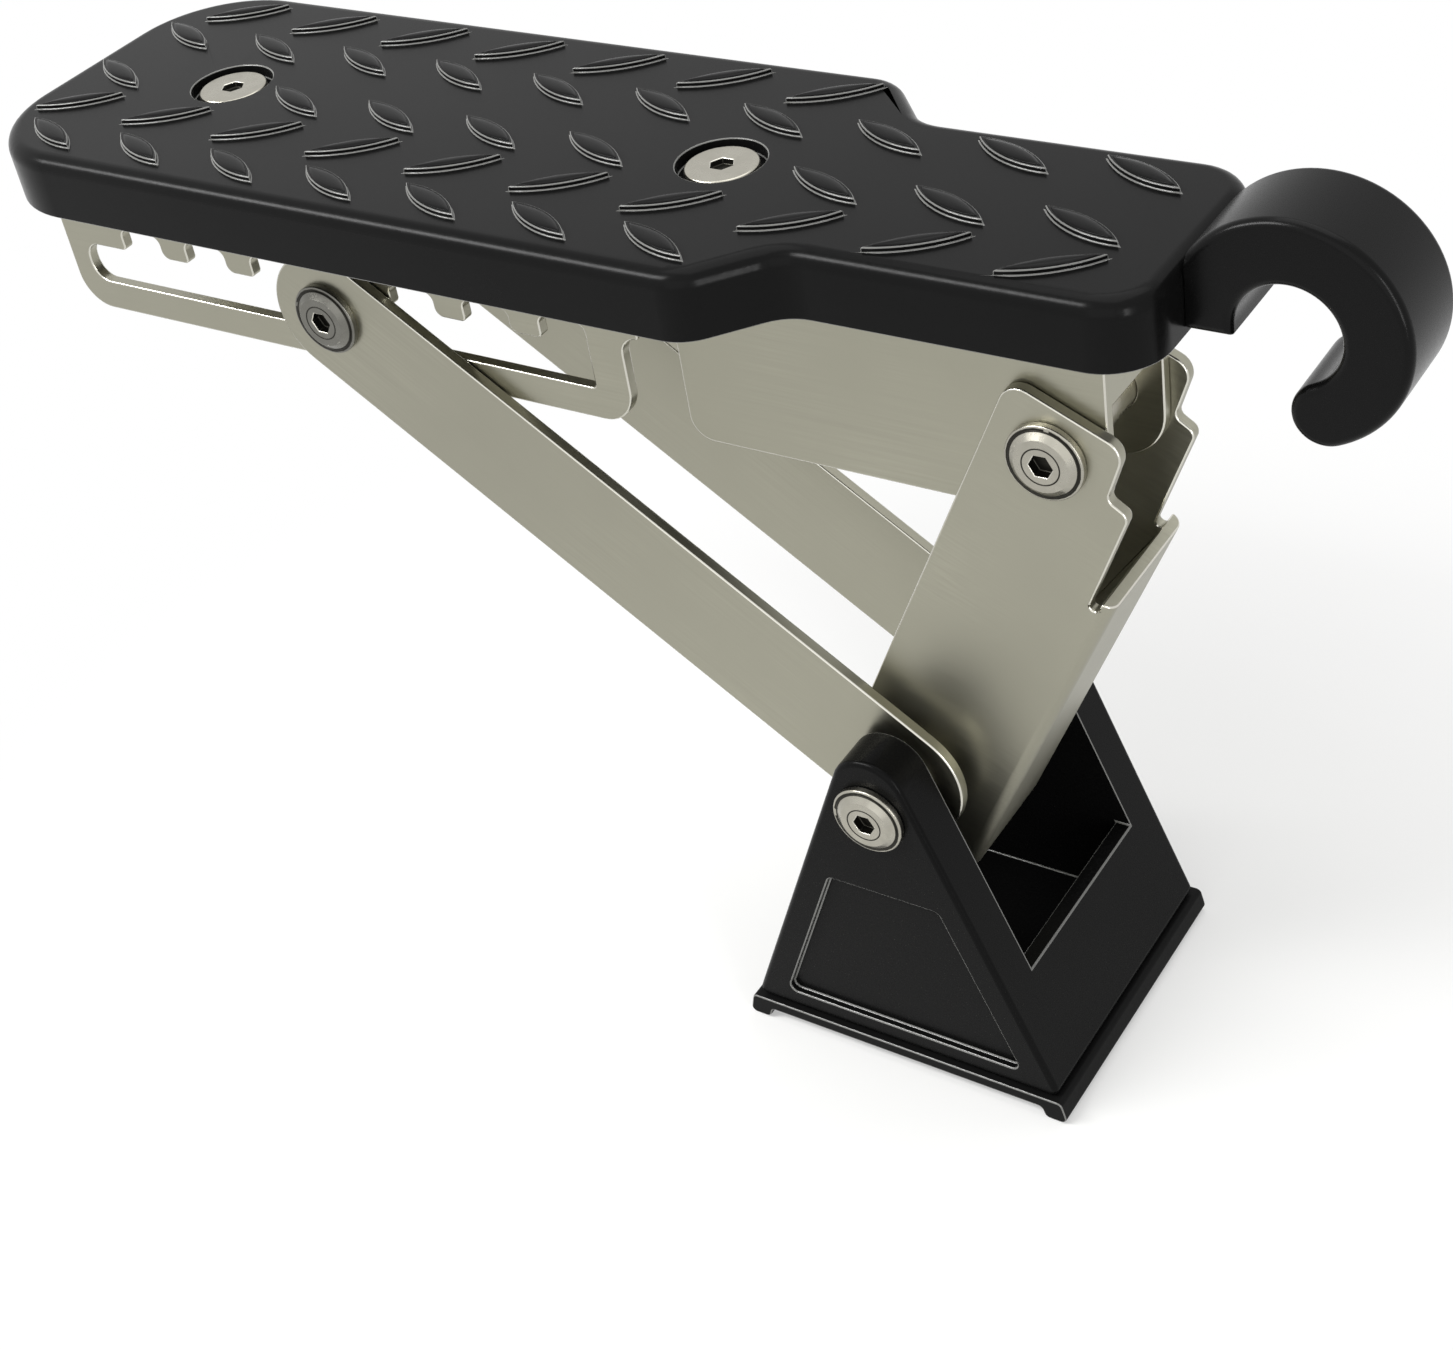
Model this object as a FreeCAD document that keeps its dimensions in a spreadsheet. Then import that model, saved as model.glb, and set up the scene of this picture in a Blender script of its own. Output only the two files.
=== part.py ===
"""Folding car door step that hangs on a door striker, as a parametric assembly in millimetres.

The origin is the axis of the hook's seat. X runs along the tread towards the hook, Y across it and
Z up. The leg, the struts and the foot stand as they do in use.
"""
import FreeCAD
import Part
import math
import os

doc = FreeCAD.newDocument("door_step")
Vector = FreeCAD.Vector

SIZES = {
    # Moulded tread cover
    "hook_reach": 20.5,
    "tread_length": 308.5,
    "tread_width": 94.6,
    "neck_width": 60.2,
    "neck_length": 79.7,
    "shoulder_run": 15.4,
    "tread_rise": 12.6,
    "tread_depth": 15.9,
    "cover_wall": 4.0,
    "cover_top": 5.0,
    "cover_rim_radius": 4.0,
    "tip_corner_radius": 29.0,
    "end_corner_radius": 13.0,
    "shoulder_radius": 12.0,
    "rib_thickness": 2.5,
    "rib_pitch": 36.0,
    "boss_diameter": 26.0,
    "recess_diameter": 20.6,
    "recess_depth": 3.0,
    "front_screw_setback": 113.1,
    "tread_screw_spacing": 145.2,
    # Raised checker lugs
    "lug_length": 22.5,
    "lug_width": 7.0,
    "lug_height": 1.2,
    "lug_pitch": 29.8,
    "bar_lug_turn": 34.0,
    "leaf_lug_turn": -24.0,
    "long_row_count": 10,
    "short_row_count": 7,
    "far_bar_start": 25.2,
    "far_bar_offset": 34.5,
    "far_leaf_start": 18.1,
    "far_leaf_offset": 19.0,
    "middle_leaf_start": 15.5,
    "middle_leaf_offset": -4.2,
    "near_bar_start": 16.7,
    "near_bar_offset": -20.0,
    "near_leaf_start": 22.7,
    "near_leaf_offset": -36.0,
    # Tread screws and nuts
    "tread_screw_head": 17.0,
    "tread_screw_head_height": 2.2,
    "tread_screw_diameter": 8.0,
    "tread_screw_edge": 0.6,
    "tread_socket_depth": 1.5,
    "thread_projection": 1.0,
    "tread_nut_flats": 13.0,
    "tread_nut_height": 6.5,
    "screw_clearance": 0.2,
    # Folded channel under the tread
    "sheet": 3.0,
    "bend_radius": 3.2,
    "arm_width": 44.0,
    "arm_tail_overhang": 4.2,
    "arm_length": 179.8,
    "relief_width": 10.2,
    "channel_setback": 16.2,
    "arm_drop": 47.0,
    "arm_corner_radius": 9.0,
    "arm_tail_radius": 2.0,
    "cheek_drop": 52.0,
    "cheek_corner_radius": 12.5,
    "cheek_tail_radius": 6.0,
    "relief_drop": 23.0,
    "end_flange_drop": 22.5,
    # Notched slot in each arm
    "slot_wall": 6.6,
    "slot_head_wall": 9.8,
    "slot_floor": 38.7,
    "slot_track": 10.8,
    "tooth_count": 6,
    "tooth_pitch": 22.5,
    "tooth_width": 9.0,
    "tooth_setback": 13.2,
    "notch_depth": 6.0,
    "tooth_corner_radius": 1.2,
    "slot_end_radius": 4.9,
    # Hook
    "hook_seat_radius": 11.0,
    "hook_outer_radius": 25.0,
    "hook_width": 23.0,
    "hook_root_drop": 2.0,
    "hook_tip_turn": 65.0,
    "hook_edge_radius": 2.0,
    "shank_tail": 8.8,
    "shank_width": 20.0,
    "hook_screw_diameter": 6.0,
    "hook_screw_head": 10.5,
    "hook_screw_head_height": 3.6,
    "hook_screw_edge": 1.4,
    "hook_thread_relief": 0.5,
    "hook_screw_grip": 9.0,
    "hook_screw_setback": 8.5,
    "hook_screw_spacing": 14.0,
    # Leg
    "leg_pivot_setback": 28.7,
    "leg_pivot_drop": 34.4,
    "leg_tilt": 24.9,
    "leg_length": 105.7,
    "leg_pivot_shift": 2.5,
    "leg_width": 36.4,
    "leg_back": 14.7,
    "leg_front": 27.2,
    "leg_crown": 12.5,
    "leg_tail": 22.7,
    "leg_web_start": 27.5,
    "leg_corner_radius": 5.0,
    "leg_nose": 13.8,
    "leg_valley": 15.0,
    "leg_valley_drop": 1.2,
    "leg_shoulder": 20.8,
    "leg_shoulder_drop": 1.0,
    "leg_shoulder_radius": 2.5,
    "leg_valley_radius": 2.0,
    "leg_nose_radius": 4.5,
    "leg_foot_radius": 14.0,
    "leg_relief_width": 2.2,
    "leg_relief_radius": 1.05,
    "side_clearance": 0.3,
    # Struts
    "strut_length": 178.8,
    "strut_width": 33.0,
    "strut_thickness": 3.0,
    "strut_arm_gap": 0.4,
    "pin_rise": 6.4,
    # Pivot hardware
    "pivot_diameter": 12.0,
    "running_clearance": 0.05,
    "end_play": 0.15,
    "pivot_screw_head": 18.4,
    "pivot_flange_height": 1.8,
    "pivot_crown_foot": 16.0,
    "pivot_crown_top": 12.6,
    "pivot_crown_height": 1.3,
    "pivot_flange_edge": 0.5,
    "pivot_crown_edge": 0.4,
    "pivot_screw_diameter": 6.0,
    "pivot_screw_grip": 12.0,
    "socket_flats": 5.0,
    "socket_depth": 2.4,
    "spacer_diameter": 18.0,
    "spacer_clearance": 0.3,
    "cross_bolt_diameter": 5.0,
    "cross_thread_depth": 2.0,
    # Foot
    "foot_width": 80.0,
    "foot_wall": 12.0,
    "foot_height": 78.0,
    "foot_half_angle": 21.6,
    "foot_apex_radius": 10.1,
    "foot_apex_rise": 6.1,
    "foot_panel": 4.0,
    "foot_floor": 5.0,
    "foot_edge_radius": 1.5,
    "foot_corner_radius": 2.0,
    "window_drop": 48.4,
    "side_recess_depth": 2.0,
    "side_recess_border": 7.6,
    "side_recess_top": 25.5,
    "side_recess_foot": 5.5,
    # Base pad
    "pad_overhang": 1.5,
    "pad_thickness": 3.2,
    "pad_lip_drop": 3.2,
    "pad_lip_width": 6.0,
    "pad_lip_flare": 1.5,
    "pad_lip_slope": 1.0,
    "pad_corner_radius": 1.5,
}

sheet = doc.addObject("Spreadsheet::Sheet", "Dimensions")
for row, (alias, number) in enumerate(SIZES.items(), start=1):
    sheet.set(f"A{row}", alias)
    sheet.set(f"B{row}", str(number))
    sheet.setAlias(f"B{row}", alias)
doc.recompute()


def size(alias):
    """Give a driving dimension as a number."""
    return float(sheet.get(alias))


def bind(feature, prop, formula):
    """Tie a property to a formula of cells, each written as its alias between braces."""
    feature.setExpression(prop, formula.replace("{", "Dimensions.").replace("}", ""))


# Outlines

def rounded_outline(corners):
    """Turn corners (x, y, radius) of a closed outline into line and arc geometry."""
    count = len(corners)
    starts = []
    ends = []
    middles = []
    for index, (x, y, radius) in enumerate(corners):
        corner = Vector(x, y, 0)
        before = Vector(*corners[index - 1][:2], 0) - corner
        after = Vector(*corners[(index + 1) % count][:2], 0) - corner
        before.normalize()
        after.normalize()
        half_turn = before.getAngle(after) / 2
        if radius <= 0 or half_turn > math.radians(89.9):
            starts.append(corner)
            ends.append(corner)
            middles.append(None)
            continue
        reach = radius / math.tan(half_turn)
        bisector = before + after
        bisector.normalize()
        depth = radius / math.sin(half_turn) - radius
        starts.append(corner + before * reach)
        ends.append(corner + after * reach)
        middles.append(corner + bisector * depth)
    geometry = []
    for index in range(count):
        if middles[index] is not None:
            geometry.append(Part.Arc(starts[index], middles[index], ends[index]))
        following = starts[(index + 1) % count]
        if (following - ends[index]).Length > 1e-6:
            geometry.append(Part.LineSegment(ends[index], following))
    return geometry


def inset_corners(corners, inset):
    """Move every side of a closed outline inwards, with its corner radii to suit."""
    count = len(corners)
    points = [Vector(x, y, 0) for x, y, radius in corners]
    area = sum(points[i - 1].x * points[i].y - points[i].x * points[i - 1].y for i in range(count))
    side = 1 if area > 0 else -1
    moved = []
    for index in range(count):
        along = points[index] - points[index - 1]
        onward = points[(index + 1) % count] - points[index]
        along.normalize()
        onward.normalize()
        turn = along.x * onward.y - along.y * onward.x
        normal = Vector(-along.y, along.x, 0) * side
        next_normal = Vector(-onward.y, onward.x, 0) * side
        shift = (normal + next_normal) * (inset / (1 + normal.dot(next_normal)))
        radius = corners[index][2]
        if radius > 0:
            radius = radius - inset if turn * side > 0 else radius + inset
        moved.append((points[index].x + shift.x, points[index].y + shift.y, max(radius, 0)))
    return moved


def mirrored(corners):
    """Complete an outline with its mirror image across the first axis."""
    return corners + [(x, -y, radius) for x, y, radius in reversed(corners)]


def rectangle(x_low, x_high, y_low, y_high):
    """Give the corners of a plain rectangle."""
    return [(x_low, y_low, 0), (x_high, y_low, 0), (x_high, y_high, 0), (x_low, y_high, 0)]


def hexagon(flats):
    """Give the corners of a hexagon from the distance across its flats."""
    reach = flats / 2 / math.cos(math.radians(30))
    turns = [math.radians(60 * side) for side in range(6)]
    return [(reach * math.cos(turn), reach * math.sin(turn), 0) for turn in turns]


# Bodies and features

def new_body(label):
    """Start a piece."""
    body = doc.addObject("PartDesign::Body", label)
    body.Label = label
    return body


def sketch_on(body, role, offset=0.0):
    """Start a sketch on one of the piece's own planes, moved along that plane's normal."""
    sketch = body.newObject("Sketcher::SketchObject", body.Label + "_sketch")
    plane = [feature for feature in body.Origin.OriginFeatures if feature.Role == role][0]
    sketch.AttachmentSupport = [(plane, "")]
    sketch.MapMode = "FlatFace"
    sketch.AttachmentOffset = FreeCAD.Placement(Vector(0, 0, offset), FreeCAD.Rotation())
    return sketch


def outline_sketch(body, role, outlines, offset=0.0):
    """Draw closed outlines of corners on a plane of the piece."""
    sketch = sketch_on(body, role, offset)
    for corners in outlines:
        sketch.addGeometry(rounded_outline(corners))
    return sketch


def add_circle(sketch, x, y, radius):
    """Draw a circle in a sketch."""
    sketch.addGeometry(Part.Circle(Vector(x, y, 0), Vector(0, 0, 1), radius))


def circle_sketch(body, role, circles, offset=0.0):
    """Draw circles (x, y, radius) on a plane of the piece."""
    sketch = sketch_on(body, role, offset)
    for x, y, radius in circles:
        add_circle(sketch, x, y, radius)
    return sketch


def pad(body, sketch, formula, side="One side", backwards=False):
    """Raise a sketch into the piece by a bound length."""
    feature = body.newObject("PartDesign::Pad", body.Label + "_pad")
    feature.Profile = sketch
    feature.SideType = side
    feature.Reversed = backwards
    bind(feature, "Length", formula)
    doc.recompute()
    return feature


def pocket(body, sketch, formula, side="One side", backwards=False):
    """Cut a sketch out of the piece by a bound depth, and make sure that it cut something."""
    before = body.Shape.Volume
    feature = body.newObject("PartDesign::Pocket", body.Label + "_pocket")
    feature.Profile = sketch
    feature.SideType = side
    feature.Reversed = backwards
    bind(feature, "Length", formula)
    doc.recompute()
    if body.Shape.Volume >= before:
        raise RuntimeError(body.Label + ": a pocket cut nothing")
    return feature


def round_edges(body, formula, chosen):
    """Fillet the edges of the piece that a test on an edge picks out."""
    edges = body.Tip.Shape.Edges
    names = [f"Edge{index + 1}" for index, edge in enumerate(edges) if chosen(edge)]
    feature = body.newObject("PartDesign::Fillet", body.Label + "_fillet")
    feature.Base = (body.Tip if feature.BaseFeature is None else feature.BaseFeature, names)
    bind(feature, "Radius", formula)
    doc.recompute()
    return feature


def revolve(body, corners):
    """Turn an outline of (radius, height) corners about the piece's Z axis."""
    sketch = outline_sketch(body, "XZ_Plane", [corners])
    feature = body.newObject("PartDesign::Revolution", body.Label + "_turned")
    feature.Profile = sketch
    feature.ReferenceAxis = (sketch, ["V_Axis"])
    feature.Angle = 360
    doc.recompute()
    return feature


def place(body, x, y, z, axis=(0, 1, 0), turn=0.0):
    """Put a finished piece at its place in the assembly."""
    body.Placement = FreeCAD.Placement(Vector(x, y, z), FreeCAD.Rotation(Vector(*axis), turn))


def ring(label, outer_radius, inner_radius, length_formula):
    """Make a plain ring or sleeve that stands on the XY plane."""
    body = new_body(label)
    sketch = circle_sketch(body, "XY_Plane", [(0, 0, outer_radius), (0, 0, inner_radius)])
    pad(body, sketch, length_formula)
    return body


NEAR, FAR = -1, 1
SIDE_NAMES = {NEAR: "near", FAR: "far"}
FACE_OUT = {NEAR: 90.0, FAR: -90.0}
AXIS_X = (1, 0, 0)
BEYOND = 50.0
NEARLY = 0.01

# Places that several pieces share
tread_end = -size("hook_reach")
tread_tip = tread_end - size("tread_length")
cover_bottom = size("tread_rise") - size("tread_depth")
cover_ceiling = size("tread_rise") - size("cover_top")
web_top = cover_bottom + size("sheet")
front_screw_x = tread_end - size("front_screw_setback")
tread_screw_places = {"front": front_screw_x, "rear": front_screw_x - size("tread_screw_spacing")}
channel_end = tread_end - size("channel_setback")
first_hook_screw_x = channel_end - size("hook_screw_setback")
hook_screw_places = {"front": first_hook_screw_x, "rear": first_hook_screw_x - size("hook_screw_spacing")}
leg_pivot_x = tread_end - size("leg_pivot_setback")
leg_pivot_z = -size("leg_pivot_drop")
pivot_hole = size("pivot_diameter") / 2 + size("running_clearance")

# The foot's pivot is carried by the leg, and the cross bolt by the struts and the slot
leg_tilt = math.radians(size("leg_tilt"))
foot_pivot_x = (leg_pivot_x + size("leg_pivot_shift") * math.cos(leg_tilt)
                - size("leg_length") * math.sin(leg_tilt))
foot_pivot_z = (leg_pivot_z - size("leg_pivot_shift") * math.sin(leg_tilt)
                - size("leg_length") * math.cos(leg_tilt))
slot_floor_z = -size("slot_floor")
cross_bolt_z = slot_floor_z + size("pin_rise")
strut_pitch = math.asin((cross_bolt_z - foot_pivot_z) / size("strut_length"))
cross_bolt_x = foot_pivot_x - size("strut_length") * math.cos(strut_pitch)

# Planes across the step, from its middle outwards
leg_half = size("leg_width") / 2
cheek_half = leg_half - size("sheet") - size("side_clearance")
arm_half = size("arm_width") / 2
strut_inner = arm_half + size("strut_arm_gap")
strut_outer = strut_inner + size("strut_thickness")


# Tread cover: a moulded shell with a rounded rim, ribs and screw bosses under its checkered top

def lug_row(row, count_alias, turn_alias, skipped=()):
    """Give the ends and the two arc middles of each lens-shaped lug of one row."""
    half_length = size("lug_length") / 2
    half_width = size("lug_width") / 2
    turn = math.radians(size(turn_alias))
    along = Vector(math.cos(turn), math.sin(turn), 0) * half_length
    across = Vector(-math.sin(turn), math.cos(turn), 0) * half_width
    first = Vector(tread_tip + size(row + "_start"), size(row + "_offset"), 0)
    lugs = []
    for index in range(int(size(count_alias))):
        if index in skipped:
            continue
        middle = first + Vector(index * size("lug_pitch"), 0, 0)
        lugs.append((middle - along, middle + across, middle + along, middle - across))
    return lugs


cover_corners = mirrored([
    (tread_tip, size("tread_width") / 2, size("tip_corner_radius")),
    (tread_end - size("neck_length") - size("shoulder_run"), size("tread_width") / 2,
     size("shoulder_radius")),
    (tread_end - size("neck_length"), size("neck_width") / 2, size("shoulder_radius")),
    (tread_end, size("neck_width") / 2, size("end_corner_radius")),
])
cover = new_body("tread_cover")
pad(cover, outline_sketch(cover, "XY_Plane", [cover_corners], cover_bottom), "{tread_depth}")
round_edges(cover, "{cover_rim_radius}",
            lambda edge: edge.BoundBox.ZMin > size("tread_rise") - NEARLY)
cavity = inset_corners(cover_corners, size("cover_wall"))
pocket(cover, outline_sketch(cover, "XY_Plane", [cavity], cover_bottom),
       "{tread_depth} - {cover_top}", backwards=True)

rib_reach = size("tread_width") / 2 - size("cover_wall") / 2
rib_room = size("tread_length") - size("neck_length") - size("shoulder_run") - size("tip_corner_radius")
ribs = []
for index in range(int(rib_room / size("rib_pitch")) + 1):
    rib_x = tread_tip + size("tip_corner_radius") + index * size("rib_pitch")
    ribs.append(rectangle(rib_x, rib_x + size("rib_thickness"), -rib_reach, rib_reach))
pad(cover, outline_sketch(cover, "XY_Plane", ribs, cover_ceiling),
    "{tread_depth} - {cover_top} - {sheet}", backwards=True)
bosses = [(x, 0, size("boss_diameter") / 2) for x in tread_screw_places.values()]
pad(cover, circle_sketch(cover, "XY_Plane", bosses, cover_ceiling),
    "{tread_depth} - {cover_top} - {sheet}", backwards=True)

recesses = [(x, 0, size("recess_diameter") / 2) for x in tread_screw_places.values()]
pocket(cover, circle_sketch(cover, "XY_Plane", recesses, size("tread_rise")), "{recess_depth}")
tread_hole = size("tread_screw_diameter") / 2 + size("screw_clearance")
holes = [(x, 0, tread_hole) for x in tread_screw_places.values()]
pocket(cover, circle_sketch(cover, "XY_Plane", holes, size("tread_rise")), "{tread_depth}")
shank_slot = rectangle(tread_end - 2 * size("cover_wall"), tread_end + size("cover_wall"),
                       -size("shank_width") / 2, size("shank_width") / 2)
pocket(cover, outline_sketch(cover, "XY_Plane", [shank_slot], cover_ceiling),
       "{tread_depth} - {cover_top} - {sheet}")

# The middle row leaves out the lugs where the screw recesses are
RECESSED_LUGS = (1, 6)
lugs = lug_row("far_bar", "short_row_count", "bar_lug_turn")
lugs += lug_row("far_leaf", "long_row_count", "leaf_lug_turn")
lugs += lug_row("middle_leaf", "long_row_count", "leaf_lug_turn", RECESSED_LUGS)
lugs += lug_row("near_bar", "long_row_count", "bar_lug_turn")
lugs += lug_row("near_leaf", "short_row_count", "leaf_lug_turn")
lug_sketch = sketch_on(cover, "XY_Plane", size("tread_rise"))
for start, left, end, right in lugs:
    lug_sketch.addGeometry([Part.Arc(start, left, end), Part.Arc(end, right, start)])
pad(cover, lug_sketch, "{lug_height}")


# Tread screws and nuts: flat heads in the recesses, nuts under the channel's web

recess_floor = size("tread_rise") - size("recess_depth")
thread_end = cover_bottom - size("tread_nut_height") - size("thread_projection")
for place_name, screw_x in tread_screw_places.items():
    screw = new_body(place_name + "_tread_screw")
    head_radius = size("tread_screw_head") / 2
    shank_radius = size("tread_screw_diameter") / 2
    revolve(screw, [
        (0, thread_end - recess_floor, 0), (shank_radius, thread_end - recess_floor, 0),
        (shank_radius, 0, 0), (head_radius, 0, 0),
        (head_radius, size("tread_screw_head_height"), size("tread_screw_edge")),
        (0, size("tread_screw_head_height"), 0),
    ])
    socket = outline_sketch(screw, "XY_Plane", [hexagon(size("socket_flats"))],
                            size("tread_screw_head_height"))
    pocket(screw, socket, "{tread_socket_depth}")
    place(screw, screw_x, 0, recess_floor)

    nut = new_body(place_name + "_tread_nut")
    nut_sketch = outline_sketch(nut, "XY_Plane", [hexagon(size("tread_nut_flats"))])
    add_circle(nut_sketch, 0, 0, shank_radius + size("running_clearance"))
    pad(nut, nut_sketch, "{tread_nut_height}")
    place(nut, screw_x, 0, cover_bottom - size("tread_nut_height"))


# Mounting channel: one folded sheet with slotted arms, hinge cheeks and an end flange

arm_tail = tread_tip - size("arm_tail_overhang")
arm_head = arm_tail + size("arm_length")
cheek_tail = arm_head + size("relief_width")
relief_middle = arm_head + size("relief_width") / 2
relief_radius = size("relief_width") / 2
web_tail = tread_tip + size("cover_wall") + size("side_clearance")
relief_z = -size("relief_drop")

channel = new_body("mounting_channel")
web_corners = mirrored([
    (web_tail, arm_half, 0), (relief_middle, arm_half, 0),
    (relief_middle, cheek_half, 0), (channel_end, cheek_half, 0),
])
pad(channel, outline_sketch(channel, "XY_Plane", [web_corners], cover_bottom), "{sheet}")

arm_corners = [
    (arm_tail, cover_bottom - size("side_clearance"), size("arm_tail_radius")),
    (arm_tail, -size("arm_drop"), size("arm_corner_radius")),
    (arm_head, -size("arm_drop"), size("arm_corner_radius")),
    (arm_head, relief_z, relief_radius), (relief_middle, relief_z, 0),
    (relief_middle, web_top, 0), (web_tail, web_top, 0),
    (web_tail, cover_bottom - size("side_clearance"), 0),
]
pad(channel, outline_sketch(channel, "XZ_Plane", [arm_corners]), "{arm_width}", side="Symmetric")

cheek_corners = [
    (relief_middle, web_top, 0), (relief_middle, relief_z, 0), (cheek_tail, relief_z, relief_radius),
    (cheek_tail, -size("cheek_drop"), size("cheek_tail_radius")),
    (channel_end, -size("cheek_drop"), size("cheek_corner_radius")), (channel_end, web_top, 0),
]
pad(channel, outline_sketch(channel, "XZ_Plane", [cheek_corners]),
    "{leg_width} - 2 * {sheet} - 2 * {side_clearance}", side="Symmetric")


def is_fold(edge):
    """Tell the outer edges along which the arms and cheeks are folded down from the web."""
    box = edge.BoundBox
    at_top = abs(box.ZMin - web_top) < NEARLY and abs(box.ZMax - web_top) < NEARLY
    at_side = min(abs(abs(box.YMin) - arm_half), abs(abs(box.YMin) - cheek_half)) < NEARLY
    return at_top and at_side and box.YLength < NEARLY


round_edges(channel, "{bend_radius}", is_fold)
between_arms = rectangle(arm_tail - BEYOND, relief_middle, -BEYOND * 2, cover_bottom)
pocket(channel, outline_sketch(channel, "XZ_Plane", [between_arms]), "{arm_width} - 2 * {sheet}",
       side="Symmetric")

flange_face = channel_end - size("sheet")
between_cheeks = [
    (relief_middle, -BEYOND * 2, 0), (channel_end + BEYOND, -BEYOND * 2, 0),
    (channel_end + BEYOND, -size("end_flange_drop"), 0),
    (flange_face, -size("end_flange_drop"), 0), (flange_face, cover_bottom, 0),
    (relief_middle, cover_bottom, 0),
]
pocket(channel, outline_sketch(channel, "XZ_Plane", [between_cheeks]),
       "{leg_width} - 4 * {sheet} - 2 * {side_clearance}", side="Symmetric")

# The slot's floor is straight, and its upper edge is a row of teeth with a notch beside each
slot_tail = arm_tail + size("slot_wall")
slot_head = arm_head - size("slot_head_wall")
tooth_tip_z = slot_floor_z + size("slot_track")
notch_top_z = tooth_tip_z + size("notch_depth")
corner = size("tooth_corner_radius")
slot_corners = [
    (slot_tail, slot_floor_z, size("slot_end_radius")), (slot_head, slot_floor_z, corner),
    (slot_head, notch_top_z, 2 * corner),
]
for index in range(int(size("tooth_count"))):
    tooth_right = slot_head - size("tooth_setback") - index * size("tooth_pitch")
    tooth_left = tooth_right - size("tooth_width")
    slot_corners += [
        (tooth_right, notch_top_z, 2 * corner), (tooth_right, tooth_tip_z, corner),
        (tooth_left, tooth_tip_z, 2 * corner), (tooth_left, notch_top_z, 2 * corner),
    ]
land_right = slot_head - size("tooth_setback") - size("tooth_count") * size("tooth_pitch")
slot_corners += [
    (land_right, notch_top_z, 2 * corner), (land_right, tooth_tip_z, corner),
    (slot_tail, tooth_tip_z, size("slot_end_radius")),
]
pocket(channel, outline_sketch(channel, "XZ_Plane", [slot_corners]), "{arm_width} + {sheet}",
       side="Symmetric")

cheek_hole = [(leg_pivot_x, leg_pivot_z, pivot_hole)]
pocket(channel, circle_sketch(channel, "XZ_Plane", cheek_hole), "{arm_width}", side="Symmetric")
hook_hole = size("hook_screw_diameter") / 2 + size("screw_clearance")
web_holes = [(x, 0, tread_hole) for x in tread_screw_places.values()]
web_holes += [(x, 0, hook_hole) for x in hook_screw_places.values()]
pocket(channel, circle_sketch(channel, "XY_Plane", web_holes, web_top), "{sheet}")



# Hook: a C-shaped moulding whose shank lies on the web, under the cover

seat_radius = size("hook_seat_radius")
outer_radius = size("hook_outer_radius")
tip_turn = -math.radians(size("hook_tip_turn"))
tip_middle = (seat_radius + outer_radius) / 2
tip_radius = (outer_radius - seat_radius) / 2


def polar(radius, turn):
    """Give a point at a radius and an angle about the hook's seat."""
    return Vector(radius * math.cos(turn), radius * math.sin(turn), 0)


root_turn = math.acos(-size("hook_reach") / outer_radius)
root_top = polar(outer_radius, root_turn)
root_low = Vector(tread_end, -size("hook_root_drop"), 0)
lip_low = Vector(-seat_radius, -size("hook_root_drop"), 0)
seat_start = Vector(-seat_radius, 0, 0)
tip_outer = polar(outer_radius, tip_turn)
tip_inner = polar(seat_radius, tip_turn)
tip_end = polar(tip_middle, tip_turn) + Vector(math.sin(tip_turn), -math.cos(tip_turn), 0) * tip_radius

hook = new_body("hook")
hook_sketch = sketch_on(hook, "XZ_Plane")
hook_sketch.addGeometry([
    Part.LineSegment(root_low, root_top),
    Part.Arc(root_top, polar(outer_radius, (root_turn + tip_turn) / 2), tip_outer),
    Part.Arc(tip_outer, tip_end, tip_inner),
    Part.Arc(tip_inner, polar(seat_radius, (math.pi + tip_turn) / 2), seat_start),
    Part.LineSegment(seat_start, lip_low),
    Part.LineSegment(lip_low, root_low),
])
pad(hook, hook_sketch, "{hook_width}", side="Symmetric")


def is_hook_rim(edge):
    """Tell the edges round the hook's two faces, apart from those against the tread."""
    box = edge.BoundBox
    on_face = abs(abs(box.YMin) - size("hook_width") / 2) < NEARLY and box.YLength < NEARLY
    return on_face and box.XMax > tread_end + NEARLY


round_edges(hook, "{hook_edge_radius}", is_hook_rim)
shank = rectangle(hook_screw_places["rear"] - size("shank_tail"), tread_end, web_top, cover_ceiling)
pad(hook, outline_sketch(hook, "XZ_Plane", [shank]), "{shank_width}", side="Symmetric")
hook_thread = size("hook_screw_diameter") / 2 + size("running_clearance")
threads = [(x, 0, hook_thread) for x in hook_screw_places.values()]
pocket(hook, circle_sketch(hook, "XY_Plane", threads, web_top),
       "{hook_screw_grip} - {sheet} + {hook_thread_relief}", backwards=True)

for place_name, screw_x in hook_screw_places.items():
    screw = new_body(place_name + "_hook_screw")
    shank_radius = size("hook_screw_diameter") / 2
    head_radius = size("hook_screw_head") / 2
    revolve(screw, [
        (0, -size("hook_screw_head_height"), 0),
        (head_radius, -size("hook_screw_head_height"), size("hook_screw_edge")),
        (head_radius, 0, 0), (shank_radius, 0, 0), (shank_radius, size("hook_screw_grip"), 0),
        (0, size("hook_screw_grip"), 0),
    ])
    place(screw, screw_x, 0, cover_bottom)


# Leg: a U-shaped folded channel whose plates straddle the cheeks, with a notched front edge

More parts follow.
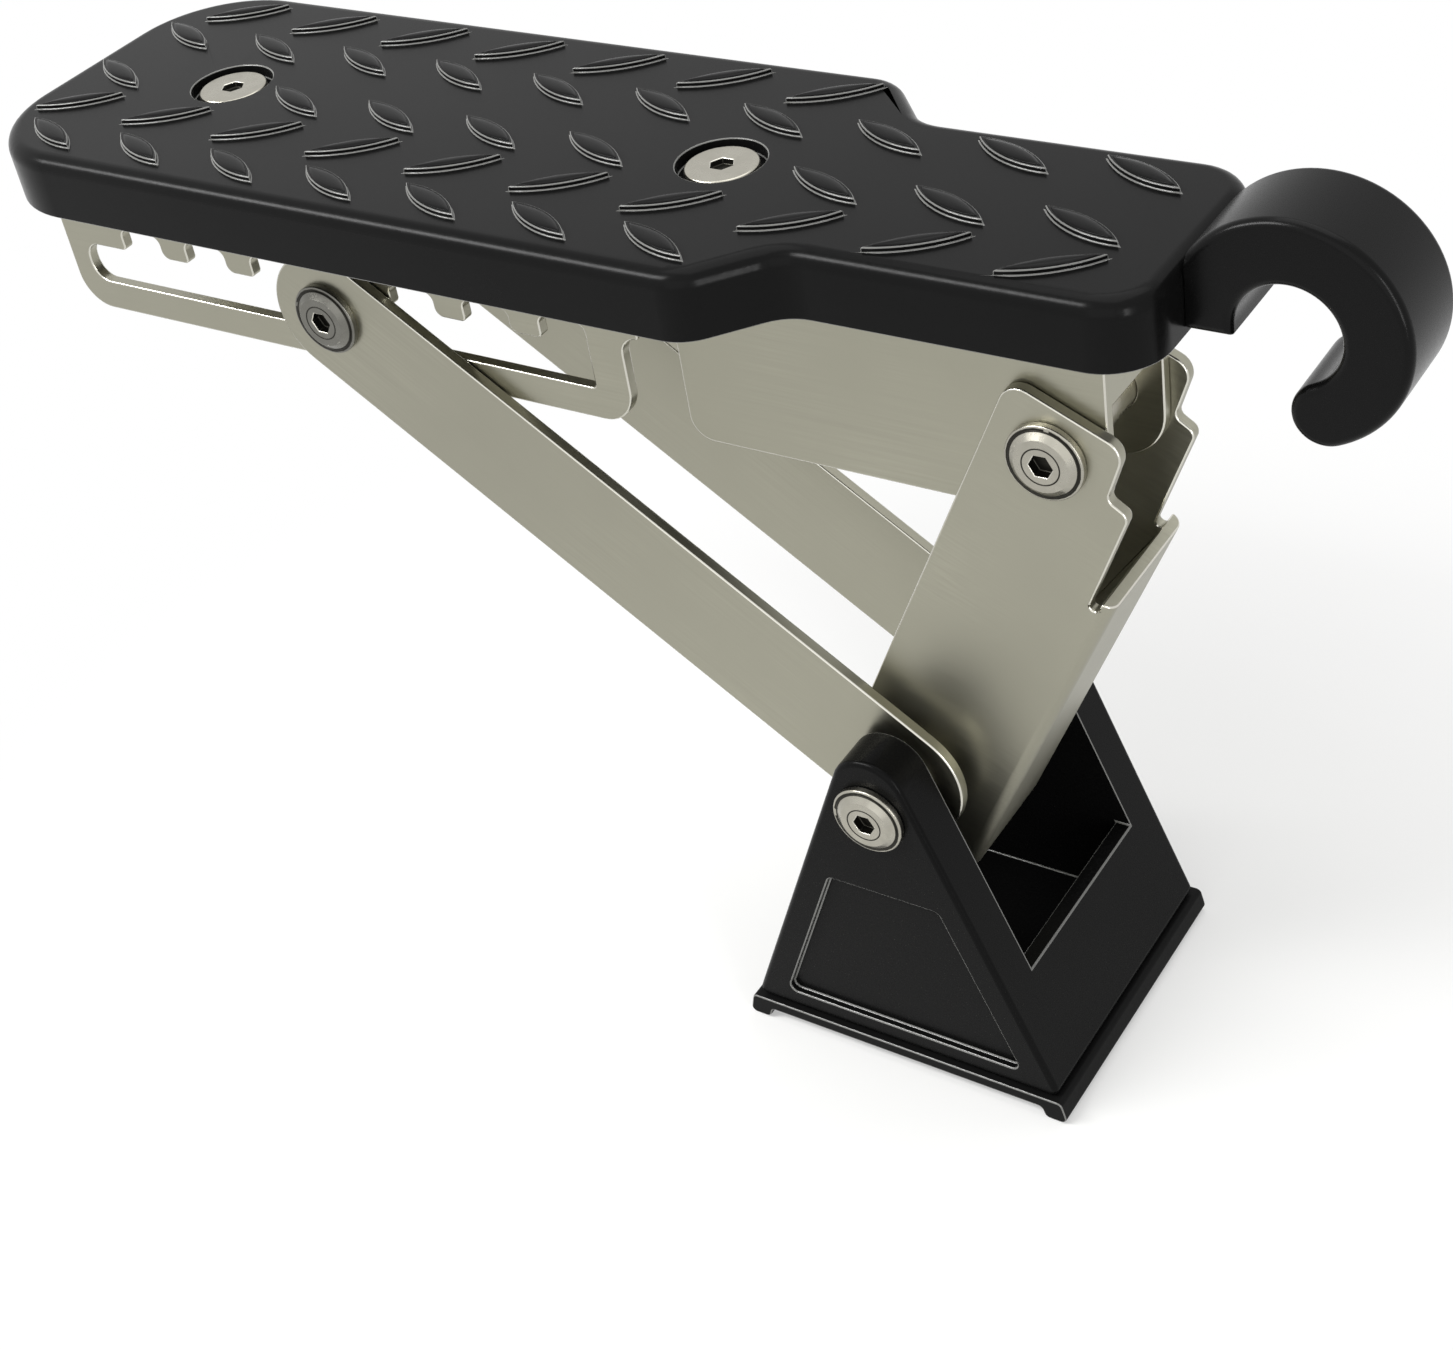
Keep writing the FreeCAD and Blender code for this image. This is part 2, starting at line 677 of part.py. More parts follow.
leg_foot = -size("leg_length") - size("leg_tail")
web_inside = size("leg_front") - size("sheet")
relief_foot = -size("leg_web_start") - size("sheet")
relief_back = web_inside - size("leg_relief_width")
leg_corners = [
    (-size("leg_back"), leg_foot, size("leg_foot_radius")), (size("leg_front"), leg_foot, 0),
    (size("leg_front"), -size("leg_web_start"), 0), (web_inside, -size("leg_web_start"), 0),
    (web_inside, relief_foot, size("leg_relief_radius")),
    (relief_back, relief_foot, size("leg_relief_radius")),
    (size("leg_shoulder"), -size("leg_valley_drop") - size("leg_shoulder_drop"), size("leg_shoulder_radius")),
    (size("leg_valley"), -size("leg_valley_drop"), size("leg_valley_radius")),
    (size("leg_nose"), size("leg_crown"), size("leg_nose_radius")),
    (-size("leg_back"), size("leg_crown"), size("leg_corner_radius")),
]
leg = new_body("leg_channel")
pad(leg, outline_sketch(leg, "XZ_Plane", [leg_corners]), "{leg_width}", side="Symmetric")
between_plates = rectangle(-size("leg_back") - BEYOND, web_inside, leg_foot - BEYOND, BEYOND)
pocket(leg, outline_sketch(leg, "XZ_Plane", [between_plates]), "{leg_width} - 2 * {sheet}",
       side="Symmetric")
leg_holes = [(0, 0, pivot_hole), (size("leg_pivot_shift"), -size("leg_length"), pivot_hole)]
pocket(leg, circle_sketch(leg, "XZ_Plane", leg_holes), "{leg_width} + {sheet}", side="Symmetric")


def is_leg_fold(edge):
    """Tell the two long outer edges where the leg's plates are folded from its web."""
    box = edge.BoundBox
    at_front = abs(box.XMin - size("leg_front")) < NEARLY and box.XLength < NEARLY
    return at_front and abs(abs(box.YMin) - leg_half) < NEARLY and box.YLength < NEARLY


round_edges(leg, "{bend_radius}", is_leg_fold)
place(leg, leg_pivot_x, 0, leg_pivot_z, turn=size("leg_tilt"))


# Struts: two flat bars with round ends, outside the arms, turning on the foot's pivot

strut_turn = math.degrees(strut_pitch) - 180.0
end_radius = size("strut_width") / 2
strut_corners = [
    (-end_radius, -end_radius, end_radius), (size("strut_length") + end_radius, -end_radius, end_radius),
    (size("strut_length") + end_radius, end_radius, end_radius), (-end_radius, end_radius, end_radius),
]
bolt_hole = size("cross_bolt_diameter") / 2 + size("running_clearance")
for side, start in ((NEAR, strut_inner), (FAR, -strut_outer)):
    strut = new_body(SIDE_NAMES[side] + "_strut")
    strut_sketch = outline_sketch(strut, "XZ_Plane", [strut_corners], start)
    add_circle(strut_sketch, 0, 0, pivot_hole)
    add_circle(strut_sketch, size("strut_length"), 0, bolt_hole)
    pad(strut, strut_sketch, "{strut_thickness}")
    place(strut, foot_pivot_x, 0, foot_pivot_z, turn=strut_turn)


# Pivot hardware: sleeves, flanged screws with hexagon sockets, spacers and washers

def flanged_profile(shank_radius, shank_length):
    """Give the outline of a flanged head on a plain shank, seated at height 0."""
    flange_radius = size("pivot_screw_head") / 2
    flange_top = size("pivot_flange_height")
    crown_top = flange_top + size("pivot_crown_height")
    return [
        (0, -shank_length, 0), (shank_radius, -shank_length, 0), (shank_radius, 0, 0),
        (flange_radius, 0, 0), (flange_radius, flange_top, size("pivot_flange_edge")),
        (size("pivot_crown_foot") / 2, flange_top, 0),
        (size("pivot_crown_top") / 2, crown_top, size("pivot_crown_edge")),
        (0, crown_top, 0),
    ]


def cut_socket(screw):
    """Cut the hexagon socket into a flanged head."""
    crown_top = size("pivot_flange_height") + size("pivot_crown_height")
    socket = outline_sketch(screw, "XY_Plane", [hexagon(size("socket_flats"))], crown_top)
    pocket(screw, socket, "{socket_depth}")


pivots = {
    "leg": (leg_pivot_x, leg_pivot_z, "leg_width"),
    "foot": (foot_pivot_x, foot_pivot_z, "foot_width"),
}
screw_radius = size("pivot_screw_diameter") / 2
for pivot_name, (pivot_x, pivot_z, width_alias) in pivots.items():
    seat_y = size(width_alias) / 2 + size("end_play")
    sleeve = ring(pivot_name + "_pivot_sleeve", size("pivot_diameter") / 2,
                  screw_radius + size("running_clearance"), "{" + width_alias + "} + 2 * {end_play}")
    place(sleeve, pivot_x, -seat_y, pivot_z, AXIS_X, FACE_OUT[FAR])
    for side in (NEAR, FAR):
        screw = new_body(f"{SIDE_NAMES[side]}_{pivot_name}_screw")
        revolve(screw, flanged_profile(screw_radius, size("pivot_screw_grip")))
        cut_socket(screw)
        place(screw, pivot_x, side * seat_y, pivot_z, AXIS_X, FACE_OUT[side])

bolt_radius = size("cross_bolt_diameter") / 2
cross_bolt = new_body("cross_bolt")
revolve(cross_bolt, flanged_profile(bolt_radius, 2 * strut_outer + size("cross_thread_depth")))
cut_socket(cross_bolt)
place(cross_bolt, cross_bolt_x, -strut_outer, cross_bolt_z, AXIS_X, FACE_OUT[NEAR])

cap_nut = new_body("cross_cap_nut")
revolve(cap_nut, flanged_profile(bolt_radius, 0.0)[2:] + [(0, 0, 0)])
pocket(cap_nut, circle_sketch(cap_nut, "XY_Plane", [(0, 0, bolt_hole)]),
       "{cross_thread_depth} + {running_clearance}", backwards=True)
place(cap_nut, cross_bolt_x, strut_outer, cross_bolt_z, AXIS_X, FACE_OUT[FAR])

spacing = size("spacer_clearance")
for side in (NEAR, FAR):
    spacer = ring(SIDE_NAMES[side] + "_strut_spacer", size("spacer_diameter") / 2, pivot_hole,
                  "{arm_width} / 2 + {strut_arm_gap} - {leg_width} / 2 - 2 * {spacer_clearance}")
    place(spacer, foot_pivot_x, side * (leg_half + spacing), foot_pivot_z, AXIS_X, FACE_OUT[side])
    washer = ring(SIDE_NAMES[side] + "_ear_washer", size("spacer_diameter") / 2, pivot_hole,
                  "{foot_width} / 2 - {foot_wall} - {arm_width} / 2 - {strut_arm_gap}"
                  " - {strut_thickness} - 2 * {spacer_clearance}")
    place(washer, foot_pivot_x, side * (strut_outer + spacing), foot_pivot_z, AXIS_X, FACE_OUT[side])


# Foot: a triangular moulding with two thick sides, open between them, and a base pad under it

half_angle = math.radians(size("foot_half_angle"))
slope = math.tan(half_angle)
apex_z = size("foot_apex_rise") + size("foot_apex_radius") / math.sin(half_angle)
foot_bottom = -size("foot_height")


def foot_half_width(z, inset=0.0):
    """Give the half width of the foot's triangle at a height, less a wall square to its slope."""
    return (apex_z - z) * slope - inset / math.cos(half_angle)


foot_corner = size("foot_corner_radius")
foot = new_body("foot_block")
foot_corners = [
    (0, apex_z, size("foot_apex_radius")),
    (-foot_half_width(foot_bottom), foot_bottom, foot_corner),
    (foot_half_width(foot_bottom), foot_bottom, foot_corner),
]
pad(foot, outline_sketch(foot, "XZ_Plane", [foot_corners]), "{foot_width}", side="Symmetric")
round_edges(foot, "{foot_edge_radius}", lambda edge: edge.BoundBox.YLength < NEARLY
            and edge.BoundBox.ZMax > foot_bottom + size("foot_floor"))
sill_z = -size("window_drop")
floor_z = foot_bottom + size("foot_floor")
sill_x = foot_half_width(sill_z, size("foot_panel"))
floor_x = foot_half_width(floor_z, size("foot_panel"))
room_corners = [
    (-BEYOND * 2, BEYOND, 0), (-BEYOND * 2, sill_z, 0), (-sill_x, sill_z, 0),
    (-floor_x, floor_z, foot_corner),
    (floor_x, floor_z, foot_corner), (sill_x, sill_z, 0), (BEYOND * 2, sill_z, 0), (BEYOND * 2, BEYOND, 0),
]
pocket(foot, outline_sketch(foot, "XZ_Plane", [room_corners]), "{foot_width} - 2 * {foot_wall}",
       side="Symmetric")
recess_top_z = -size("side_recess_top")
recess_foot_z = foot_bottom + size("side_recess_foot")
recess_top_x = foot_half_width(recess_top_z, size("side_recess_border"))
recess_foot_x = foot_half_width(recess_foot_z, size("side_recess_border"))
recess_corners = [
    (-recess_top_x, recess_top_z, foot_corner), (-recess_foot_x, recess_foot_z, foot_corner),
    (recess_foot_x, recess_foot_z, foot_corner), (recess_top_x, recess_top_z, foot_corner),
]
for side in (NEAR, FAR):
    recess_sketch = outline_sketch(foot, "XZ_Plane", [recess_corners], -side * size("foot_width") / 2)
    pocket(foot, recess_sketch, "{side_recess_depth}", backwards=side == FAR)
pocket(foot, circle_sketch(foot, "XZ_Plane", [(0, 0, pivot_hole)]), "{foot_width} + {sheet}",
       side="Symmetric")
place(foot, foot_pivot_x, 0, foot_pivot_z)

base_pad = new_body("foot_pad")
pad_half = foot_half_width(foot_bottom) + size("pad_overhang") / 2
pad_low = foot_bottom - size("pad_thickness")
lip_low_z = pad_low - size("pad_lip_drop")
lip_out = pad_half + size("pad_lip_flare")
lip_in = lip_out - size("pad_lip_width")
pad_round = size("pad_corner_radius")
pad_corners = [
    (-pad_half, foot_bottom, pad_round), (-lip_out, lip_low_z, pad_round), (-lip_in, lip_low_z, pad_round),
    (-lip_in + size("pad_lip_slope"), pad_low, pad_round),
    (lip_in - size("pad_lip_slope"), pad_low, pad_round),
    (lip_in, lip_low_z, pad_round), (lip_out, lip_low_z, pad_round), (pad_half, foot_bottom, pad_round),
]
pad(base_pad, outline_sketch(base_pad, "XZ_Plane", [pad_corners]), "{foot_width} + 2 * {pad_overhang}",
    side="Symmetric")
place(base_pad, foot_pivot_x, 0, foot_pivot_z)


# Check every feature, then write each piece

doc.recompute()
for feature in doc.Objects:
    if "Invalid" in feature.State or "Error" in feature.State:
        raise RuntimeError(f"{feature.Label} failed: {feature.State}")
pieces = [item for item in doc.Objects if item.TypeId == "PartDesign::Body"]
for piece in pieces:
    if piece.Shape.isNull() or not piece.Shape.isValid():
        raise RuntimeError(piece.Label + " has no valid solid")
os.makedirs("parts", exist_ok=True)
for piece in pieces:
    piece.Shape.exportStep(f"parts/{piece.Label}.step")
print(len(pieces), "pieces; foot pivot", round(foot_pivot_x, 2), round(foot_pivot_z, 2),
      "cross bolt", round(cross_bolt_x, 2), round(cross_bolt_z, 2))
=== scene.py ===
import math

import bmesh
import bpy
from mathutils import Matrix, Vector
from mathutils.bvhtree import BVHTree


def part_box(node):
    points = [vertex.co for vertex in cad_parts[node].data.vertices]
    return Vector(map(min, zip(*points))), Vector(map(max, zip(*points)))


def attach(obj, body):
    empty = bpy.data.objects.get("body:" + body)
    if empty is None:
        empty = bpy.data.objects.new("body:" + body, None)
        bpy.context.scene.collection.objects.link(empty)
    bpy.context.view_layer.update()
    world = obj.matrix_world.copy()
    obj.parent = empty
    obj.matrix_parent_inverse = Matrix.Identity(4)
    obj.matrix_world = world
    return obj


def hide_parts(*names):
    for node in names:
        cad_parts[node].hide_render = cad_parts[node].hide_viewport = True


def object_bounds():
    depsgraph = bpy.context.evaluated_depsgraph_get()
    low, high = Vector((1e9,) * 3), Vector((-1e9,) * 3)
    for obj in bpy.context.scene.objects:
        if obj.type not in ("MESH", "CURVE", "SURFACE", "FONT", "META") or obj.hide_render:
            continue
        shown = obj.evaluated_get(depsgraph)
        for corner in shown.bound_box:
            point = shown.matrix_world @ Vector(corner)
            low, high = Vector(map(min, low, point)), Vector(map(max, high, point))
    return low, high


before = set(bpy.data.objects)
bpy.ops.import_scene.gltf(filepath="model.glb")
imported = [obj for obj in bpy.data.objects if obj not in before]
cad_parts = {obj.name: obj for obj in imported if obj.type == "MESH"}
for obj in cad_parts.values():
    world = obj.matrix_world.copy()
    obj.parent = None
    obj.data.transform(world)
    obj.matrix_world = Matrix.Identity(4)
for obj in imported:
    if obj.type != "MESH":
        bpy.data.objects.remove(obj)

cad_low, cad_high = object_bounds()
scene = bpy.context.scene
scene.view_settings.view_transform = "Standard"


# Mounting channel, leg and struts: folded and cut from three-millimetre sheet steel, then plated.
# Their cut edges are broken by hand, so each piece is shown with its edges slightly rounded, and these
# rounded edges are painted a paler steel as a painted highlight.
# The satin plating keeps faint rolling marks along the sheet and a few clouded patches.

MM_PER_M = 1000


def linear(hex_colour):
    """Turn an sRGB hex value into the linear colour that shaders read."""
    channels = [int(hex_colour[i:i + 2], 16) / 255 for i in (1, 3, 5)]
    return [c / 12.92 if c <= 0.04045 else ((c + 0.055) / 1.055) ** 2.4 for c in channels] + [1.0]


def add_node(tree, kind, links=(), values=(), **settings):
    """Add a node with its settings and socket values, fed by (output socket, input name) pairs."""
    node = tree.nodes.new(kind)
    for key, value in settings.items():
        setattr(node, key, value)
    for name, value in dict(values).items():
        node.inputs[name].default_value = value
    for source, name in links:
        tree.links.new(source, node.inputs[name])
    return node


def new_material(name):
    """Start a material and give its node tree and shader."""
    material = bpy.data.materials.new(name)
    material.use_nodes = True
    tree = material.node_tree
    return material, tree, tree.nodes["Principled BSDF"]


def plated_steel(name, colour, cloud_colour, roughness, streak_turn, streak_length_mm):
    """Satin plated sheet steel, whose fine marks run along the turned X axis of its coordinates."""
    # Marks are drawn 0.7 mm apart, coarser than real rolling marks, so that they show in the render
    streak_mm = 0.7
    cloud_mm = 45.0
    smoother = 0.02
    rougher = 0.03
    material, tree, shader = new_material(name)
    shader.inputs["Metallic"].default_value = 1.0
    place = add_node(tree, "ShaderNodeTexCoord").outputs["Object"]
    turned = add_node(tree, "ShaderNodeMapping", [(place, "Vector")],
                      {"Rotation": (0.0, streak_turn, 0.0)}).outputs["Vector"]
    stretched = add_node(tree, "ShaderNodeMapping", [(turned, "Vector")],
                         {"Scale": (MM_PER_M / streak_length_mm, MM_PER_M / streak_mm,
                                    MM_PER_M / streak_mm)})
    streaks = add_node(tree, "ShaderNodeTexNoise", [(stretched.outputs["Vector"], "Vector")],
                       {"Scale": 1.0, "Detail": 2.0, "Roughness": 0.5})
    clouds = add_node(tree, "ShaderNodeTexNoise", [(place, "Vector")],
                      {"Scale": MM_PER_M / cloud_mm, "Detail": 3.0, "Roughness": 0.55})
    tint = add_node(tree, "ShaderNodeMixRGB", [(clouds.outputs["Fac"], "Fac")],
                    {"Color1": linear(cloud_colour), "Color2": linear(colour)})
    rubbed = add_node(tree, "ShaderNodeMapRange", [(clouds.outputs["Fac"], "Value")],
                      {"From Min": 0.45, "From Max": 0.65, "To Min": 0.02, "To Max": 0.16})
    marked = add_node(tree, "ShaderNodeMixRGB",
                      [(rubbed.outputs["Result"], "Fac"), (tint.outputs["Color"], "Color1"),
                       (streaks.outputs["Fac"], "Color2")], blend_type="OVERLAY")
    tree.links.new(marked.outputs["Color"], shader.inputs["Base Color"])
    gloss = add_node(tree, "ShaderNodeMapRange", [(streaks.outputs["Fac"], "Value")],
                     {"From Min": 0.3, "From Max": 0.7,
                      "To Min": roughness - smoother, "To Max": roughness + rougher})
    tree.links.new(gloss.outputs["Result"], shader.inputs["Roughness"])
    relief = add_node(tree, "ShaderNodeBump", [(streaks.outputs["Fac"], "Height")],
                      {"Strength": 0.025, "Distance": 0.0002})
    tree.links.new(relief.outputs["Normal"], shader.inputs["Normal"])
    return material


def broken_edges(node, name, body, finishes, edge_mm, reshape=None):
    """Show a CAD piece with its sharp edges rounded, its faces in the first finish and its rounded edges
    in the second, which for most pieces is a paler painted highlight.
    """
    sharp_turn = math.radians(32.0)
    flat_turn = math.radians(0.6)
    weld_distance = 1e-6
    rounding_limit = 0.5 * edge_mm / MM_PER_M
    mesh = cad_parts[node].data.copy()
    mesh.materials.clear()
    for finish in finishes:
        mesh.materials.append(finish)
    mesh.polygons.foreach_set("material_index", [0] * len(mesh.polygons))
    work = bmesh.new()
    work.from_mesh(mesh)
    bmesh.ops.remove_doubles(work, verts=work.verts, dist=weld_distance)
    bmesh.ops.dissolve_limit(work, angle_limit=flat_turn, verts=work.verts, edges=work.edges)
    if reshape is not None:
        reshape(work)
    work.to_mesh(mesh)
    skin = BVHTree.FromBMesh(work)
    work.free()
    mesh.shade_smooth()
    mesh.set_sharp_from_angle(angle=sharp_turn)
    source = bpy.data.objects.new(name + "_source", mesh)
    scene.collection.objects.link(source)
    rounding = source.modifiers.new("edge", "BEVEL")
    rounding.limit_method = "ANGLE"
    rounding.angle_limit = sharp_turn
    rounding.width = edge_mm / MM_PER_M
    rounding.segments = 2
    # The rounded edges take the second finish, for most pieces a painted highlight
    rounding.material = 1
    rounding.use_clamp_overlap = False
    flatness = source.modifiers.new("flatness", "WEIGHTED_NORMAL")
    flatness.weight = 100
    flatness.keep_sharp = True
    source_eval = source.evaluated_get(bpy.context.evaluated_depsgraph_get())
    finished = bpy.data.meshes.new_from_object(source_eval)
    finished.name = name
    bpy.data.objects.remove(source)
    # Where roundings meet in a tight corner, a vertex can stray, so it goes back to the surface
    for vertex in finished.vertices:
        nearest, _, _, distance = skin.find_nearest(vertex.co)
        if distance > rounding_limit:
            vertex.co = nearest
    piece = bpy.data.objects.new(name, finished)
    scene.collection.objects.link(piece)
    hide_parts(node)
    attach(piece, body)
    return piece


SHEET_EDGE_MM = 0.35
ROLLING_MARK_MM = 30.0
LINISHING_MARK_MM = 9.0
across_leg = math.radians(-23.5)
along_strut = math.radians(-33.6)
# The rounded edges take a paler steel colour: a painted highlight along every edge
edge_highlight_steel = plated_steel("painted_edge_highlight_steel", "#d6d4ca", "#c6c4b9", roughness=0.22,
                        streak_turn=0.0, streak_length_mm=ROLLING_MARK_MM)
channel_steel = plated_steel("satin_plated_sheet_steel", "#a4a293", "#9b998a", roughness=0.33,
                             streak_turn=0.0, streak_length_mm=ROLLING_MARK_MM)
leg_steel = plated_steel("linished_plated_steel", "#a5a394", "#9b998b", roughness=0.4,
                         streak_turn=across_leg, streak_length_mm=LINISHING_MARK_MM)
strut_steel = plated_steel("satin_plated_bar_steel", "#a2a091", "#989688", roughness=0.31,
                           streak_turn=along_strut, streak_length_mm=ROLLING_MARK_MM)
broken_edges("mounting_channel", "folded_channel", "tread", (channel_steel, edge_highlight_steel),
             SHEET_EDGE_MM)
broken_edges("leg_channel", "folded_leg", "leg", (leg_steel, edge_highlight_steel), SHEET_EDGE_MM)
for strut_node in ("near_strut", "far_strut"):
    broken_edges(strut_node, strut_node + "_bar", "strut", (strut_steel, edge_highlight_steel),
                 SHEET_EDGE_MM)


# Tread cover: one black plastic moulding with a rounded rim, screwed down onto the channel.
# Its surface has the fine grain of a spark-eroded mould, rubbed a little paler where feet rest,
# and each checker lug has a shallow crown, as moulded lugs do.

def moulded_black(name, colour, worn_colour, roughness, grain_mm, grain_depth, sheen):
    """Black moulding with fine grain and large soft patches that are a little paler."""
    patch_mm = 60.0
    smoother = 0.03
    rougher = 0.04
    material, tree, shader = new_material(name)
    shader.inputs["IOR"].default_value = 1.5
    shader.inputs["Specular IOR Level"].default_value = sheen
    place = add_node(tree, "ShaderNodeTexCoord").outputs["Object"]
    grain = add_node(tree, "ShaderNodeTexNoise", [(place, "Vector")],
                     {"Scale": MM_PER_M / grain_mm, "Detail": 2.0, "Roughness": 0.5})
    patches = add_node(tree, "ShaderNodeTexNoise", [(place, "Vector")],
                       {"Scale": MM_PER_M / patch_mm, "Detail": 4.0, "Roughness": 0.6})
    shade = add_node(tree, "ShaderNodeMixRGB", [(patches.outputs["Fac"], "Fac")],
                     {"Color1": linear(colour), "Color2": linear(worn_colour)})
    tree.links.new(shade.outputs["Color"], shader.inputs["Base Color"])
    gloss = add_node(tree, "ShaderNodeMapRange", [(grain.outputs["Fac"], "Value")],
                     {"From Min": 0.3, "From Max": 0.7,
                      "To Min": roughness - smoother, "To Max": roughness + rougher})
    tree.links.new(gloss.outputs["Result"], shader.inputs["Roughness"])
    relief = add_node(tree, "ShaderNodeBump", [(grain.outputs["Fac"], "Height")],
                      {"Strength": grain_depth, "Distance": 0.0002})
    tree.links.new(relief.outputs["Normal"], shader.inputs["Normal"])
    return material


TREAD_EDGE_MM = 0.25
LUG_LENGTH = 0.0225
LUG_WIDTH = 0.0070
LEAF_SHARE = 0.78
BAR_SHARE = 0.6
LUG_EDGE = 0.0002
LUG_CROWN = 0.0005
LUG_PITCH = 0.0298
LUG_HEIGHT = 0.0012
LUG_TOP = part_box("tread_cover")[1][2]
TREAD_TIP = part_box("tread_cover")[0][0]
LEAF_TURN = math.radians(-24.0)
BAR_TURN = math.radians(34.0)


def lug_places(first, y, count, skipped=()):
    """Give the lug centres of one row, counted from the tip of the tread."""
    return [(TREAD_TIP + first + i * LUG_PITCH, y, LUG_TOP) for i in range(count) if i not in skipped]


# The middle row of leaves leaves out two lugs, where the screws' recesses are
leaf_places = (lug_places(first=0.0181, y=0.0190, count=10)
               + lug_places(first=0.0155, y=-0.0042, count=10, skipped=(1, 6))
               + lug_places(first=0.0227, y=-0.0360, count=7))
bar_places = (lug_places(first=0.0252, y=0.0345, count=7)
              + lug_places(first=0.0167, y=-0.0200, count=10))


def slim_lugs(work):
    """Draw in the sides of the lugs, the bars more than the leaves."""
    raised = [vertex for vertex in work.verts if vertex.co.z > LUG_TOP - LUG_HEIGHT - LUG_EDGE]
    for places, turn, share in ((leaf_places, LEAF_TURN, LEAF_SHARE), (bar_places, BAR_TURN, BAR_SHARE)):
        along = Vector((math.cos(turn), math.sin(turn), 0.0))
        across = Vector((-math.sin(turn), math.cos(turn), 0.0))
        for place in places:
            for vertex in raised:
                offset = vertex.co - Vector(place)
                sideways = offset.dot(across)
                on_length = abs(offset.dot(along)) < LUG_LENGTH / 2 + LUG_EDGE
                if on_length and abs(sideways) < LUG_WIDTH / 2 + LUG_EDGE:
                    vertex.co -= across * sideways * (1.0 - share)


# The grain is drawn at 0.9 mm, coarser than the real 0.2 mm, so that it shows in the render
tread_black = moulded_black("grained_black_abs", "#0c0c0c", "#121212", roughness=0.22,
                            grain_mm=0.9, grain_depth=0.015, sheen=0.08)
# The rounded edges of the black mouldings are painted pale grey: a painted highlight along every edge and
# lug outline
edge_highlight_black = moulded_black("painted_edge_highlight_black", "#666664", "#747471", roughness=0.2,
                            grain_mm=0.9, grain_depth=0.01, sheen=0.5)
broken_edges("tread_cover", "moulded_tread", "tread", (tread_black, edge_highlight_black),
             TREAD_EDGE_MM, slim_lugs)


def lug_tree():
    """Nodes that set a crowned leaf on every point, turned by one angle."""
    tree = bpy.data.node_groups.new("lug_crowns", "GeometryNodeTree")
    tree.interface.new_socket("Geometry", in_out="INPUT", socket_type="NodeSocketGeometry")
    for name in ("Length", "Width", "Crown", "Turn"):
        tree.interface.new_socket(name, in_out="INPUT", socket_type="NodeSocketFloat")
    tree.interface.new_socket("Material", in_out="INPUT", socket_type="NodeSocketMaterial")
    tree.interface.new_socket("Geometry", in_out="OUTPUT", socket_type="NodeSocketGeometry")
    given = add_node(tree, "NodeGroupInput").outputs
    ball = add_node(tree, "GeometryNodeMeshUVSphere", values={"Segments": 28, "Rings": 8, "Radius": 1.0})
    spot = add_node(tree, "ShaderNodeSeparateXYZ",
                    [(add_node(tree, "GeometryNodeInputPosition").outputs[0], "Vector")]).outputs
    squared = add_node(tree, "ShaderNodeMath", [(spot["X"], 0), (spot["X"], 1)], operation="MULTIPLY")
    left = add_node(tree, "ShaderNodeMath", [(squared.outputs[0], 1)], {0: 1.0}, operation="SUBTRACT")
    pinch = add_node(tree, "ShaderNodeMath", [(left.outputs[0], 0)], operation="SQRT")
    narrowed = add_node(tree, "ShaderNodeMath", [(spot["Y"], 0), (pinch.outputs[0], 1)],
                        operation="MULTIPLY")
    leaf = add_node(tree, "ShaderNodeCombineXYZ",
                    [(spot["X"], "X"), (narrowed.outputs[0], "Y"), (spot["Z"], "Z")])
    shaped = add_node(tree, "GeometryNodeSetPosition",
                      [(ball.outputs["Mesh"], "Geometry"), (leaf.outputs["Vector"], "Position")])
    half_length = add_node(tree, "ShaderNodeMath", [(given["Length"], 0)], {1: 2.0}, operation="DIVIDE")
    half_width = add_node(tree, "ShaderNodeMath", [(given["Width"], 0)], {1: 2.0}, operation="DIVIDE")
    scale = add_node(tree, "ShaderNodeCombineXYZ", [(half_length.outputs[0], "X"),
                     (half_width.outputs[0], "Y"), (given["Crown"], "Z")])
    turn = add_node(tree, "ShaderNodeCombineXYZ", [(given["Turn"], "Z")])
    crowns = add_node(tree, "GeometryNodeInstanceOnPoints",
                      [(given["Geometry"], "Points"), (shaped.outputs["Geometry"], "Instance"),
                       (turn.outputs["Vector"], "Rotation"), (scale.outputs["Vector"], "Scale")])
    real = add_node(tree, "GeometryNodeRealizeInstances", [(crowns.outputs["Instances"], "Geometry")])
    smooth = add_node(tree, "GeometryNodeSetShadeSmooth", [(real.outputs["Geometry"], "Geometry")])
    clad = add_node(tree, "GeometryNodeSetMaterial",
                    [(smooth.outputs["Geometry"], "Geometry"), (given["Material"], "Material")])
    add_node(tree, "NodeGroupOutput", [(clad.outputs["Geometry"], "Geometry")])
    return tree


def node_mesh(name, points, tree, settings):
    """Run a node tree on a set of points and give the result as a plain mesh."""
    seeds = bpy.data.meshes.new(name + "_seeds")
    seeds.from_pydata(points, [], [])
    source = bpy.data.objects.new(name + "_source", seeds)
    scene.collection.objects.link(source)
    modifier = source.modifiers.new("nodes", "NODES")
    modifier.node_group = tree
    for item in tree.interface.items_tree:
        if item.in_out == "INPUT" and item.name in settings:
            modifier[item.identifier] = settings[item.name]
    evaluated = source.evaluated_get(bpy.context.evaluated_depsgraph_get())
    mesh = bpy.data.meshes.new_from_object(evaluated)
    mesh.name = name
    source.modifiers.clear()
    bpy.data.objects.remove(source)
    return mesh


